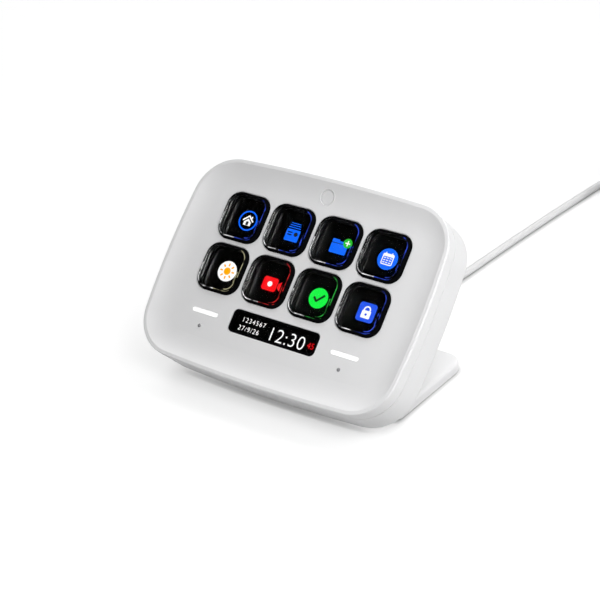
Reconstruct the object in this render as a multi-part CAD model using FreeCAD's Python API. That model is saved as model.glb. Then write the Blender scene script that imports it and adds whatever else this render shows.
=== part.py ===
import FreeCAD, Part

import math
import os

# A desk keypad: a scooped head with eight clear keys over a display leans on a bent stand.
# Millimetres. X runs to the right, Y to the back, Z up, with Z = 0 on the desk.
# The head is built lying flat, with its face at level 0 and its front up, and is then leaned back.

V = FreeCAD.Vector

# Head outline, seen square to the face, with the margins counted from the block of keys
side_margin = 15.5
top_margin = 12.45
bottom_margin = 28.35
long_edge_bow = 1.0
short_edge_bow = 0.9
corner_radius = 16.0
lean_deg = 46.5

# Front bezel: a flat lip over a fine line, a scooped wall and a flat face
rim_height = 2.2
lip_width = 1.4
lip_radius = 0.35
scoop_radius = 20.0
bezel_wall = 2.0
face_thickness = 2.0
seam_depth = 3.5
rim_line_width = 0.3
rim_line_depth = 0.25
rim_line_drop = 0.55

# Rear shell
head_depth = 16.6
shell_wall = 2.0
shell_floor = 2.0
back_round = 2.4
inner_round = 2.0
seam_gap = 0.35
seam_reveal = 0.7
tongue_thickness = 1.0
tongue_height = 1.6
tongue_clearance = 0.2
tongue_root = 1.0
floor_edge_inset = 6.0

# Keys
key_columns = 4
key_rows = 2
key_pitch = 19.8
cap_size = 17.7
cap_corner = 4.7
cap_clearance = 0.25
cap_proud = 1.5
cap_edge_round = 0.9
cap_crown_radius = 90.0
flange_overlap = 0.8
flange_gap = 0.3
flange_thickness = 0.9
key_travel = 1.0
opening_chamfer = 0.25

# Layers under the keys, from the front to the back
skirt_gap = 0.2
membrane_base = 0.4
skirt_width = 0.8
key_window = 15.4
window_corner = 3.2
contact_thickness = 0.2
panel_thickness = 1.0
backlight_thickness = 0.8
carrier_floor = 0.8
panel_margin = 1.05
pocket_clearance = 0.2
carrier_wall = 1.3
spacer_height = 3.8
spacer_radius = 2.2
spacer_spread_shares = (0.75, 0.7)
light_window_shares = (0.6, 0.5)
board_thickness = 1.6
sheet_corner = 1.0

# Info window under the keys, with its own small display
info_gap = 5.7
info_height = 8.7
info_corner = 1.9
info_drop = 26.4
info_clearance = 0.2
info_sink = 0.1
info_lip = 0.7
info_lip_thickness = 0.8
info_panel_thickness = 1.3
info_panel_gap = 0.1
cushion_inset = 1.0

# Light bars, touch points and their boards
bar_width = 11.2
bar_height = 1.6
bar_drop = 26.7
bar_clearance = 0.1
end_round_share = 0.49
guide_sink = 0.3
guide_lip = 0.7
guide_lip_thickness = 0.9
led_width = 3.5
led_depth = 1.4
led_thickness = 0.4
bump_radius = 0.7
bump_height = 0.55
bump_drop = 32.0
touch_board_margin = 1.6
touch_board_height = 10.4
touch_board_drop = 29.8
touch_board_thickness = 0.8
stake_spacing = 11.6
stake_radius = 1.1
stake_pin_radius = 0.6
stake_pin_proud = 0.4
pin_clearance = 0.1

# Plain dimple above the keys
dimple_radius = 3.1
dimple_depth = 0.25
dimple_rise = 24.7

# Main board and what is on it
board_width = 82.0
board_height = 58.0
board_rise = 2.0
board_screw_spacing_x = 74.0
board_screw_spacing_y = 48.0
board_post_radius = 2.6
chip_size = 10.0
chip_shares = [(1.0, 1.0), (0.7, 0.9), (0.5, 0.5)]
chip_thickness = 1.0
chip_gap = 6.0
connector_width = 9.0
connector_depth = 5.0
connector_thickness = 1.5
flex_width = 14.0
flex_thickness = 0.2
flex_run = 6.0
flex_drop_run = 3.0
flex_socket_depth = 3.0
flex_socket_thickness = 0.7
lead_count = 4
lead_radius = 0.5
lead_pitch = 1.5
lead_gap = 0.3

# Screws
case_screw_spacing_x = 92.0
case_screw_spacing_y = 52.0
case_boss_radius = 3.0
case_boss_level = 6.0
case_screw_radius = 1.0
case_head_radius = 2.0
case_head_height = 1.6
case_counterbore_radius = 2.4
case_seat_level = 13.6
case_screw_reach = 3.0
board_screw_radius = 0.8
board_head_radius = 1.6
board_head_height = 1.0
board_screw_length = 3.0
stand_screw_radius = 1.5
stand_head_radius = 2.75
stand_head_height = 1.7
stand_screw_length = 3.3
stand_boss_radius = 3.2
stand_screw_spacing_x = 68.0
stand_screw_rises = [10.0, 0.0]
stand_counterbore_depth = 2.0
shank_clearance = 0.05
hole_clearance = 0.3
recess_width = 0.5
recess_depth_share = 0.45
recess_reach_share = 1.1

# Stand: a plate bent into a sharp V, one leg against the head's back and one on the desk
stand_width = 90.0
stand_thickness = 3.8
foot_reach = 3.3
stand_inner_radius = 2.5
stand_corner_radius = 6.5
stand_edge_round = 1.2
leg_top_rise = 17.0
desk_clearance = 1.35
pad_width = 16.0
pad_depth = 5.0
pad_proud = 0.5
pad_recess = 0.6
pad_inset_x = 7.0
pad_inset_y = 6.0
pad_clearance = 0.15

# Cable, strain relief, coil and plug
cable_diameter = 3.0
cable_start_run = 13.0
arc_share = 0.45
exit_offset = 8.5
exit_rise = 24.0
relief_neck_radius = 3.0
relief_collar_radius = 4.3
relief_collar_thickness = 1.2
relief_length = 15.0
relief_tip_radius = 2.2
relief_ring_count = 4
relief_ring_depth = 0.5
relief_ring_share = 0.45
coil_inner_radius = 11.0
coil_turns_in_layer = 3
coil_layers = 4
coil_pitch = 3.5
plug_lead = 12.0
lead_out_radius = 25.4
lead_out_first_share = 0.86
lead_out_drop_share = 0.2
plug_width = 15.5
plug_thickness = 8.0
plug_length = 24.0
plug_round = 1.6
plug_neck_length = 5.0
plug_neck_radius = 2.4
plug_shell_width = 12.0
plug_shell_thickness = 4.5
plug_shell_length = 18.5
plug_shell_wall = 0.35
plug_tongue_thickness = 1.9
plug_tongue_gap = 0.4
plug_hole_size = 2.0
plug_hole_share = 0.5

overrun = 1.0

# Head size, and the rise of the block of keys above the head's middle
block_width = (key_columns - 1) * key_pitch + cap_size
block_height = (key_rows - 1) * key_pitch + cap_size
head_width = block_width + 2 * side_margin
head_height = block_height + top_margin + bottom_margin
array_rise = (bottom_margin - top_margin) / 2


def outline_frame():
    """Centres and radii of the long edge, short edge and corner arcs in the upper right quarter."""
    half_w = head_width / 2
    half_h = head_height / 2
    long_half = half_w - corner_radius
    short_half = half_h - corner_radius
    long_radius = (long_half ** 2 + long_edge_bow ** 2) / (2 * long_edge_bow)
    short_radius = (short_half ** 2 + short_edge_bow ** 2) / (2 * short_edge_bow)
    long_y = half_h - long_radius
    short_x = half_w - short_radius
    near = long_radius - corner_radius
    far = short_radius - corner_radius
    apart = math.hypot(short_x, long_y)
    along = (near ** 2 - far ** 2 + apart ** 2) / (2 * apart)
    aside = math.sqrt(near ** 2 - along ** 2)
    step = V(short_x, -long_y, 0) / apart
    corner = V(0, long_y, 0) + step * along + V(-step.y, step.x, 0) * aside
    other = V(0, long_y, 0) + step * along - V(-step.y, step.x, 0) * aside
    if other.x + other.y > corner.x + corner.y:
        corner = other
    return V(0, long_y, 0), long_radius, V(short_x, 0, 0), short_radius, corner


LONG_CENTRE, LONG_RADIUS, SHORT_CENTRE, SHORT_RADIUS, CORNER_CENTRE = outline_frame()
LONG_END = (CORNER_CENTRE - LONG_CENTRE).normalize()
SHORT_END = (CORNER_CENTRE - SHORT_CENTRE).normalize()


def head_outline(inset, level):
    """The head's outline moved inwards by inset, as a closed wire of eight tangent arcs."""
    long_end = LONG_CENTRE + LONG_END * (LONG_RADIUS - inset)
    short_end = SHORT_CENTRE + SHORT_END * (SHORT_RADIUS - inset)
    corner_mid = CORNER_CENTRE + (LONG_END + SHORT_END).normalize() * (corner_radius - inset)
    top = V(0, head_height / 2 - inset, 0)
    side = V(head_width / 2 - inset, 0, 0)

    def at(point, sign_x, sign_y):
        return V(point.x * sign_x, point.y * sign_y, level)

    arcs = [
        (at(long_end, 1, 1), at(corner_mid, 1, 1), at(short_end, 1, 1)),
        (at(short_end, 1, 1), at(side, 1, 1), at(short_end, 1, -1)),
        (at(short_end, 1, -1), at(corner_mid, 1, -1), at(long_end, 1, -1)),
        (at(long_end, 1, -1), at(top, 1, -1), at(long_end, -1, -1)),
        (at(long_end, -1, -1), at(corner_mid, -1, -1), at(short_end, -1, -1)),
        (at(short_end, -1, -1), at(side, -1, 1), at(short_end, -1, 1)),
        (at(short_end, -1, 1), at(corner_mid, -1, 1), at(long_end, -1, 1)),
        (at(long_end, -1, 1), at(top, 1, 1), at(long_end, 1, 1)),
    ]
    return Part.Wire([Part.Arc(*three).toShape() for three in arcs])


def rounded_rectangle(width, height, corner, x, y, level):
    """A closed wire: a rectangle with round corners about (x, y)."""
    a = width / 2
    b = height / 2
    bend = corner * (1 - math.sqrt(0.5))
    edges = []
    for turn in range(4):
        long_side, short_side = (a, b) if turn % 2 == 0 else (b, a)
        angle = turn * math.pi / 2

        def at(p, q):
            return V(x + p * math.cos(angle) - q * math.sin(angle), y + p * math.sin(angle) + q * math.cos(angle), level)

        start = at(long_side, short_side - corner)
        middle = at(long_side - bend, short_side - bend)
        end = at(long_side - corner, short_side)
        after = at(corner - long_side, short_side)
        edges.append(Part.Arc(start, middle, end).toShape())
        edges.append(Part.LineSegment(end, after).toShape())
    return Part.Wire(edges)


def prism(wire, rise):
    """A solid from a flat wire, rise along the face's normal, downwards where it is negative."""
    return Part.Face(wire).extrude(V(0, 0, rise))


def slab(width, height, corner, x, y, top, bottom):
    """A plate with round corners between two levels."""
    return prism(rounded_rectangle(width, height, corner, x, y, bottom), top - bottom)


def drum(radius, x, y, top, bottom):
    """A cylinder that stands on the face's normal between two levels."""
    return Part.makeCylinder(radius, top - bottom, V(x, y, bottom), V(0, 0, 1))


def swept_rim(start, steps):
    """A ring: a section of (inset, level) points, with lines or arcs, carried round the head's outline."""
    origin = LONG_CENTRE + LONG_END * LONG_RADIUS

    def at(point):
        return origin - LONG_END * point[0] + V(0, 0, point[1])

    edges = []
    here = start
    for step in steps:
        if len(step) == 1:
            edges.append(Part.LineSegment(at(here), at(step[0])).toShape())
        else:
            edges.append(Part.Arc(at(here), at(step[0]), at(step[1])).toShape())
        here = step[-1]
    section = Part.Wire(edges)
    return head_outline(0, 0).makePipeShell([section], True, False)


def key_places():
    """Centres of the keys, row by row from the top left."""
    places = []
    for row in range(key_rows):
        for column in range(key_columns):
            x = (column - (key_columns - 1) / 2) * key_pitch
            y = array_rise + ((key_rows - 1) / 2 - row) * key_pitch
            places.append((x, y))
    return places


def four_places(spacing_x, spacing_y, rise):
    """The corners of a rectangle of screws."""
    return [(sx * spacing_x / 2, rise + sy * spacing_y / 2) for sx in (-1, 1) for sy in (-1, 1)]


def cut_all(shape, tools):
    """The shape without the tools."""
    return shape.cut(tools).removeSplitter()


def fuse_all(shape, others):
    """The shape joined with the others."""
    return shape.fuse(others).removeSplitter()


# Levels and places that several pieces share, with levels counted from the face, positive to the front
face_back = -face_thickness
seam_level = -seam_depth
back_level = -head_depth
floor_level = shell_floor - head_depth
flange_top = face_back - flange_gap
flange_bottom = flange_top - flange_thickness
flange_size = cap_size + 2 * flange_overlap
membrane_top = flange_bottom - key_travel
membrane_bottom = membrane_top - membrane_base
contact_bottom = membrane_bottom - contact_thickness
panel_bottom = contact_bottom - panel_thickness
backlight_bottom = panel_bottom - backlight_thickness
carrier_bottom = backlight_bottom - carrier_floor
board_top = carrier_bottom - spacer_height
board_bottom = board_top - board_thickness
array_width = (key_columns - 1) * key_pitch + flange_size
array_height = (key_rows - 1) * key_pitch + flange_size
sheet_width = array_width + 2 * panel_margin + 2 * flange_gap
sheet_height = array_height + 2 * panel_margin - flange_gap
info_y = array_rise - info_drop
bar_x = (key_columns - 1) / 2 * key_pitch
bar_y = array_rise - bar_drop
info_width = 2 * (bar_x - bar_width / 2 - info_gap)
touch_board_width = stake_spacing + 2 * touch_board_margin
bump_y = array_rise - bump_drop
touch_y = array_rise - touch_board_drop
touch_top = face_back - guide_lip_thickness - led_thickness
touch_bottom = touch_top - touch_board_thickness
lens_bottom = face_back - info_lip_thickness
info_panel_top = lens_bottom - info_panel_gap
info_panel_bottom = info_panel_top - info_panel_thickness
case_places = four_places(case_screw_spacing_x, case_screw_spacing_y, 0)
board_places = four_places(board_screw_spacing_x, board_screw_spacing_y, 0)
stand_bend_radius = stand_inner_radius + stand_thickness
stand_places = [(sx * stand_screw_spacing_x / 2, y) for sx in (-1, 1) for y in stand_screw_rises]

# The scoop is an arc tangent to the flat face that ends at the inner edge of the flat lip.
SCOOP_ANGLE = math.acos(1 - rim_height / scoop_radius)
SCOOP_REACH = lip_width + scoop_radius * math.sin(SCOOP_ANGLE)


def scoop_point(radius, angle):
    """A point of the scoop's arc, or of one round the same centre, as (inset, level)."""
    return SCOOP_REACH - radius * math.sin(angle), scoop_radius - radius * math.cos(angle)


def bezel_ring():
    """The flat lip, scooped wall and side of the bezel with its fine line, as one swept ring."""
    under_radius = scoop_radius + face_thickness
    under_angle = math.asin((SCOOP_REACH - bezel_wall) / under_radius)
    line_level = rim_height - rim_line_drop
    lip_bend = lip_radius * (1 - math.sqrt(0.5))
    return swept_rim(
        (0, seam_level),
        [
            [(0, line_level - rim_line_width / 2)],
            [(rim_line_depth, line_level)],
            [(0, line_level + rim_line_width / 2)],
            [(0, rim_height - lip_radius)],
            [(lip_bend, rim_height - lip_bend), (lip_radius, rim_height)],
            [(lip_width, rim_height)],
            [scoop_point(scoop_radius, SCOOP_ANGLE / 2), (SCOOP_REACH, 0)],
            [(SCOOP_REACH, face_back)],
            [scoop_point(under_radius, under_angle / 2), scoop_point(under_radius, under_angle)],
            [(bezel_wall, seam_level)],
            [(0, seam_level)],
        ],
    )


def key_opening(x, y):
    """The space that one key's opening takes out of the face, with a small chamfer at its mouth."""
    size = cap_size + 2 * cap_clearance
    corner = cap_corner + cap_clearance
    wide = size + 2 * opening_chamfer
    hole = slab(size, size, corner, x, y, overrun, face_back - overrun)
    low = rounded_rectangle(size, size, corner, x, y, -opening_chamfer)
    high = rounded_rectangle(wide, wide, corner + opening_chamfer, x, y, 0)
    return hole.fuse(Part.makeLoft([low, high], True, True))


def dimple_tool():
    """A short cylinder square to the scoop, for the plain dimple above the keys."""
    inset = head_height / 2 - array_rise - dimple_rise
    angle = math.asin((SCOOP_REACH - inset) / scoop_radius)
    foot = V(0, head_height / 2 - inset, scoop_point(scoop_radius, angle)[1])
    normal = V(0, -math.sin(angle), math.cos(angle))
    return Part.makeCylinder(dimple_radius, rim_height, foot - normal * dimple_depth, normal)


def front_bezel():
    """Scooped front with its openings, touch points, screw bosses and stakes."""
    shape = fuse_all(bezel_ring(), [prism(head_outline(SCOOP_REACH, face_back), face_thickness)])
    bosses = [drum(case_boss_radius, x, y, face_back / 2, -case_boss_level) for x, y in case_places]
    shape = fuse_all(shape, bosses)
    tools = [key_opening(x, y) for x, y in key_places()]
    tools.append(slab(info_width, info_height, info_corner, 0, info_y, overrun, face_back - overrun))
    tools.append(dimple_tool())
    for x, y in case_places:
        tools.append(drum(case_screw_radius + shank_clearance, x, y, -case_screw_reach, -case_boss_level - overrun))
    for side in (-1, 1):
        x = side * bar_x
        tools.append(slab(bar_width, bar_height, bar_height * end_round_share, x, bar_y, overrun, face_back - overrun))
    shape = cut_all(shape, tools)
    extras = []
    bump_ball = (bump_radius ** 2 + bump_height ** 2) / (2 * bump_height)
    for side in (-1, 1):
        ball = Part.makeSphere(bump_ball, V(side * bar_x, bump_y, bump_height - bump_ball), V(-1, 0, 0))
        keep = drum(bump_ball, side * bar_x, bump_y, bump_ball, face_back / 2)
        extras.append(ball.common(keep))
        for end in (-1, 1):
            x = side * bar_x + end * stake_spacing / 2
            extras.append(drum(stake_radius, x, touch_y, face_back, touch_top))
            extras.append(drum(stake_pin_radius, x, touch_y, touch_top, touch_bottom - stake_pin_proud))
    return fuse_all(shape, extras)


def shell_ring():
    """The side, rounded back edge and tongue of the rear shell, as one swept ring."""
    tongue_out = bezel_wall + tongue_clearance
    tongue_in = tongue_out + tongue_thickness
    bend = inner_round * (1 - math.sqrt(0.5))
    back_bend = back_round * (1 - math.sqrt(0.5))
    root_level = seam_level - tongue_root
    return swept_rim(
        (0, seam_level - seam_gap),
        [
            [(0, back_level + back_round)],
            [(back_bend, back_level + back_bend), (back_round, back_level)],
            [(floor_edge_inset, back_level)],
            [(floor_edge_inset, floor_level)],
            [(shell_wall + inner_round, floor_level)],
            [(shell_wall + bend, floor_level + bend), (shell_wall, floor_level + inner_round)],
            [(shell_wall, root_level - tongue_in + shell_wall)],
            [(tongue_in, root_level)],
            [(tongue_in, seam_level + tongue_height)],
            [(tongue_out, seam_level + tongue_height)],
            [(tongue_out, seam_level)],
            [(seam_reveal, seam_level)],
            [(seam_reveal, seam_level - seam_gap)],
            [(0, seam_level - seam_gap)],
        ],
    )


def rear_shell():
    """Tub with its bosses, posts and cable hole."""
    shape = fuse_all(shell_ring(), [prism(head_outline(floor_edge_inset, back_level), shell_floor)])
    posts = [drum(case_boss_radius, x, y, -case_boss_level, back_level) for x, y in case_places]
    posts += [drum(board_post_radius, x, y, board_bottom, floor_level) for x, y in board_places]
    posts += [drum(stand_boss_radius, x, y, board_bottom - shank_clearance, floor_level) for x, y in stand_places]
    shape = fuse_all(shape, posts)
    tools = []
    for x, y in case_places:
        tools.append(drum(case_counterbore_radius, x, y, -case_seat_level, back_level - overrun))
        tools.append(drum(case_screw_radius + hole_clearance, x, y, overrun, back_level - overrun))
    for x, y in board_places:
        tools.append(drum(board_screw_radius + shank_clearance, x, y, board_bottom + overrun, floor_level))
    for x, y in stand_places:
        depth = stand_screw_length - stand_thickness + stand_counterbore_depth + hole_clearance
        tools.append(drum(stand_screw_radius + shank_clearance, x, y, back_level + depth, back_level - overrun))
    tools.append(drum(relief_neck_radius, exit_offset, exit_rise, floor_level + overrun, back_level - overrun))
    return cut_all(shape, tools)


def key_cap(x, y):
    """Clear cap: a crowned pillow with a flange that the face holds back."""
    ball = Part.makeSphere(cap_crown_radius, V(x, y, cap_proud - cap_crown_radius), V(-1, 0, 0))
    block = slab(cap_size, cap_size, cap_corner, x, y, cap_proud + overrun, flange_top)
    block = block.common(ball)
    rim = [edge for edge in block.Edges if edge.BoundBox.ZMin > flange_top + cap_edge_round]
    block = block.makeFillet(cap_edge_round, rim)
    flange = slab(flange_size, flange_size, cap_corner, x, y, flange_top, flange_bottom)
    return fuse_all(block, [flange])


def key_membrane():
    """Silicone sheet with a window and a raised skirt under each key."""
    shape = slab(sheet_width, sheet_height, sheet_corner, 0, array_rise, membrane_top, membrane_bottom)
    skirts = []
    tools = []
    inner = flange_size - 2 * skirt_width - 2 * flange_gap
    outer = flange_size - 2 * flange_gap
    for x, y in key_places():
        ring = slab(outer, outer, cap_corner, x, y, flange_bottom - skirt_gap, membrane_top)
        skirts.append(ring.cut(slab(inner, inner, cap_corner - skirt_width, x, y, 0, membrane_bottom)))
        tools.append(slab(key_window, key_window, window_corner, x, y, 0, membrane_bottom - overrun))
    return cut_all(fuse_all(shape, skirts), tools)


def contact_sheet():
    """Thin printed circuit with a window under each key."""
    shape = slab(sheet_width, sheet_height, sheet_corner, 0, array_rise, membrane_bottom, contact_bottom)
    windows = []
    for x, y in key_places():
        windows.append(slab(key_window, key_window, window_corner, x, y, 0, contact_bottom - overrun))
    return cut_all(shape, windows)


def panel_carrier():
    """Frame that holds the big display, the membrane and the info display against the bezel."""
    opening_w = array_width + 2 * flange_gap
    opening_h = array_height + 2 * flange_gap
    pocket_w = sheet_width + 2 * pocket_clearance
    pocket_h = sheet_height + 2 * pocket_clearance
    outer_w = pocket_w + 2 * carrier_wall
    outer_h = pocket_h + 2 * carrier_wall
    lens_w = info_width + 2 * info_lip + 2 * pocket_clearance
    lens_h = info_height + 2 * info_lip - info_clearance
    low_w = lens_w + 2 * carrier_wall
    low_h = lens_h / 2 + 2 * carrier_wall
    shape = slab(outer_w, outer_h, sheet_corner, 0, array_rise, face_back, carrier_bottom)
    low_y = info_y - low_h / 2 + carrier_wall
    shape = fuse_all(shape, [slab(low_w, low_h + lens_h / 2, sheet_corner, 0, low_y + lens_h / 4, face_back, carrier_bottom)])
    spacers = []
    for x, y in four_places(array_width * spacer_spread_shares[0], array_height * spacer_spread_shares[1], array_rise):
        spacers.append(drum(spacer_radius, x, y, carrier_bottom, board_top))
    shape = fuse_all(shape, spacers)
    cushion_w = info_width - 2 * cushion_inset
    cushion_h = info_height - cushion_inset
    light_w = array_width * light_window_shares[0]
    light_h = array_height * light_window_shares[1]
    tools = [
        slab(opening_w, opening_h, sheet_corner, 0, array_rise, overrun, membrane_top),
        slab(pocket_w, pocket_h, sheet_corner, 0, array_rise, membrane_top, backlight_bottom),
        slab(lens_w, lens_h, sheet_corner, 0, info_y, overrun, info_panel_bottom),
        slab(cushion_w, cushion_h, sheet_corner, 0, info_y, overrun, backlight_bottom),
        slab(light_w, light_h, sheet_corner, 0, array_rise, 0, carrier_bottom - overrun),
        slab(flex_width + 2 * pocket_clearance, flex_run / 2, sheet_corner, 0, info_y, 0, carrier_bottom - overrun),
    ]
    return cut_all(shape, tools)


def info_window():
    """Glossy dark window under the keys, with a lip behind the face."""
    body = slab(
        info_width - 2 * info_clearance,
        info_height - 2 * info_clearance,
        info_corner - info_clearance,
        0,
        info_y,
        -info_sink,
        face_back,
    )
    lip = slab(
        info_width + 2 * info_lip,
        info_height + 2 * info_lip - 2 * info_clearance,
        sheet_corner,
        0,
        info_y,
        face_back,
        lens_bottom,
    )
    return fuse_all(body, [lip])


def light_guide(side):
    """White light bar a little below the face in its slot, with a lip behind the face."""
    x = side * bar_x
    width = bar_width - 2 * bar_clearance
    height = bar_height - 2 * bar_clearance
    body = slab(width, height, height * end_round_share, x, bar_y, -guide_sink, face_back)
    lip_w = bar_width + 2 * guide_lip
    lip_h = bar_height + 2 * guide_lip
    lip = slab(lip_w, lip_h, guide_lip, x, bar_y, face_back, face_back - guide_lip_thickness)
    return fuse_all(body, [lip])


def status_led(side):
    """Small lamp between a touch board and its light guide."""
    return slab(led_width, led_depth, led_depth / 8, side * bar_x, bar_y, touch_top + led_thickness, touch_top)


def touch_board(side):
    """Small board behind a light bar and touch point, held by two stakes."""
    x = side * bar_x
    shape = slab(touch_board_width, touch_board_height, sheet_corner, x, touch_y, touch_top, touch_bottom)
    holes = []
    for end in (-1, 1):
        hole_x = x + end * stake_spacing / 2
        holes.append(drum(stake_pin_radius + pin_clearance, hole_x, touch_y, 0, touch_bottom - overrun))
    return cut_all(shape, holes)


def main_board():
    """Main circuit board on four posts of the rear shell."""
    shape = slab(board_width, board_height, sheet_corner, 0, board_rise, board_top, board_bottom)
    holes = [drum(board_screw_radius + hole_clearance, x, y, 0, board_bottom - overrun) for x, y in board_places]
    return cut_all(shape, holes)


def board_chips():
    """Controller, memory and regulator on the back of the main board."""
    step = chip_size + chip_gap
    chips = []
    for number, (width_share, height_share) in enumerate(chip_shares):
        width = chip_size * width_share
        height = chip_size * height_share
        x = (number - 1) * step
        chips.append(slab(width, height, chip_thickness / 4, x, -step, board_bottom, board_bottom - chip_thickness))
    return Part.makeCompound(chips)


def cable_connector():
    """Connector on the back of the main board, for the leads of the cable."""
    top = connector_place()
    y = top - connector_depth / 2
    body = slab(
        connector_width,
        connector_depth,
        connector_thickness / 5,
        exit_offset,
        y,
        board_bottom,
        board_bottom - connector_thickness,
    )
    return body


def connector_place():
    """Upper edge of the cable connector."""
    return exit_rise - relief_collar_radius - connector_depth


def inner_leads():
    """Four insulated leads from the strain relief to the connector."""
    level = board_bottom - lead_radius - skirt_gap
    start = exit_rise - relief_collar_radius
    leads = []
    for number in range(lead_count):
        x = exit_offset + (number - (lead_count - 1) / 2) * lead_pitch
        reach = start + relief_collar_radius - math.sqrt(relief_collar_radius ** 2 - (x - exit_offset) ** 2)
        length = reach - connector_place() - lead_gap
        leads.append(Part.makeCylinder(lead_radius, length, V(x, connector_place(), level), V(0, 1, 0)))
    return Part.makeCompound(leads)


def flex_strip(y, high, direction):
    """A flat strip that leaves a display's back at y and steps down to its socket on the board."""
    low = board_top + flex_socket_thickness + flex_thickness
    end = flex_run + flex_drop_run + flex_socket_depth
    top_line = [(0, high), (flex_run, high), (flex_run + flex_drop_run, low), (end, low)]
    points = [V(-flex_width / 2, y + direction * a, b) for a, b in top_line]
    points += [V(-flex_width / 2, y + direction * a, b - flex_thickness) for a, b in reversed(top_line)]
    points.append(points[0])
    return Part.Face(Part.makePolygon(points)).extrude(V(flex_width, 0, 0))


def flex_socket(y, direction):
    """Socket on the front of the main board, under the end of a strip."""
    middle = y + direction * (flex_run + flex_drop_run + flex_socket_depth / 2)
    width = flex_width + flex_socket_depth
    corner = flex_socket_thickness / 4
    return slab(width, flex_socket_depth, corner, 0, middle, board_top + flex_socket_thickness, board_top)


def cross_recess(head_radius, x, y, level, sign):
    """A cross driver recess in a screw's head that faces along sign."""
    reach = head_radius * recess_reach_share
    depth = head_radius * recess_depth_share
    top = level + sign * overrun
    bottom = level - sign * depth
    low, high = min(top, bottom), max(top, bottom)
    across = Part.makeBox(reach, recess_width, high - low, V(x - reach / 2, y - recess_width / 2, low))
    along = Part.makeBox(recess_width, reach, high - low, V(x - recess_width / 2, y - reach / 2, low))
    return across.fuse(along)


def screw(x, y, seat, head_radius, head_height, shank_radius, length, sign):
    """A screw whose head stands off its seat along sign, with its shank the other way."""
    head_end = seat + sign * head_height
    shank_end = seat - sign * length
    head = drum(head_radius, x, y, max(seat, head_end), min(seat, head_end))
    shank = drum(shank_radius, x, y, max(seat, shank_end), min(seat, shank_end))
    return cut_all(head.fuse(shank), [cross_recess(head_radius, x, y, head_end, sign)])


def case_screws():
    """Four screws from the back, through the rear shell into the bezel."""
    length = case_seat_level - case_screw_reach - hole_clearance
    places = case_places
    return Part.makeCompound(
        [
            screw(x, y, -case_seat_level, case_head_radius, case_head_height, case_screw_radius, length, -1)
            for x, y in places
        ]
    )


def board_screws():
    """Four screws that hold the main board to its posts."""
    return Part.makeCompound(
        [
            screw(x, y, board_top, board_head_radius, board_head_height, board_screw_radius, board_screw_length, 1)
            for x, y in board_places
        ]
    )


def stand_screws():
    """Four screws through the stand's leg into the rear shell."""
    seat = back_level - stand_thickness + stand_counterbore_depth
    return Part.makeCompound(
        [
            screw(x, y, seat, stand_head_radius, stand_head_height, stand_screw_radius, stand_screw_length, -1)
            for x, y in stand_places
        ]
    )


def strain_relief():
    """Rubber sleeve: an inner collar, a neck through the floor, an outer collar and a ringed taper."""
    inner = floor_level + relief_collar_thickness
    tip = back_level - relief_collar_thickness - relief_length
    taper_top = back_level - relief_collar_thickness
    points = [(0, inner), (relief_collar_radius, inner), (relief_collar_radius, floor_level)]
    points += [(relief_neck_radius - shank_clearance, floor_level), (relief_neck_radius - shank_clearance, back_level)]
    points += [(relief_collar_radius, back_level), (relief_collar_radius, taper_top)]
    step = relief_length / (relief_ring_count + 1)
    for number in range(relief_ring_count):
        share = (number + 1) / (relief_ring_count + 1)
        radius = relief_neck_radius + (relief_tip_radius - relief_neck_radius) * share
        start = taper_top - number * step - step * (1 - relief_ring_share)
        end = taper_top - (number + 1) * step
        points += [(radius, start), (radius - relief_ring_depth, start)]
        points += [(radius - relief_ring_depth, end), (radius, end)]
    points += [(relief_tip_radius, tip), (0, tip), (0, inner)]
    outline = [V(exit_offset + r, exit_rise, level) for r, level in points]
    face = Part.Face(Part.makePolygon(outline))
    return face.revolve(V(exit_offset, exit_rise, 0), V(0, 0, 1), 360)


# Placing the head on the desk
LEAN = math.radians(lean_deg)


def leaned(y, level):
    """Height and depth in the leaned frame of a point of the flat head, before the head is set down."""
    return y * math.cos(LEAN) - level * math.sin(LEAN), y * math.sin(LEAN) + level * math.cos(LEAN)


low_y = -head_height / 2
lowest = leaned(low_y + back_round, back_level + back_round)[1] - back_round
front_most = leaned(low_y + lip_radius, rim_height - lip_radius)[0] - lip_radius
back_most = leaned(-low_y - back_round, back_level + back_round)[0] + back_round
head_y = -(front_most + back_most + foot_reach) / 2
head_z = desk_clearance - lowest
HEAD_PLACE = FreeCAD.Placement(V(0, head_y, head_z), FreeCAD.Rotation(V(1, 0, 0), lean_deg))


def on_head(shape):
    """A piece of the flat head, in its place on the leaned head."""
    moved = shape.copy()
    moved.transformShape(HEAD_PLACE.toMatrix(), True)
    return moved


def head_point(x, y, level):
    """A point of the flat head in the part's frame."""
    return HEAD_PLACE.multVec(V(x, y, level))


def head_direction(x, y, level):
    """A direction of the flat head in the part's frame."""
    return HEAD_PLACE.Rotation.multVec(V(x, y, level))


# The stand's sharp end, where the plane of the head's back meets the underside of the foot, and its far end
BACK_MIDDLE = head_point(0, 0, back_level)
APEX_Y = BACK_MIDDLE.y - (BACK_MIDDLE.z - pad_proud) / math.tan(LEAN)
FOOT_END = head_y + back_most + foot_reach


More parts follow.
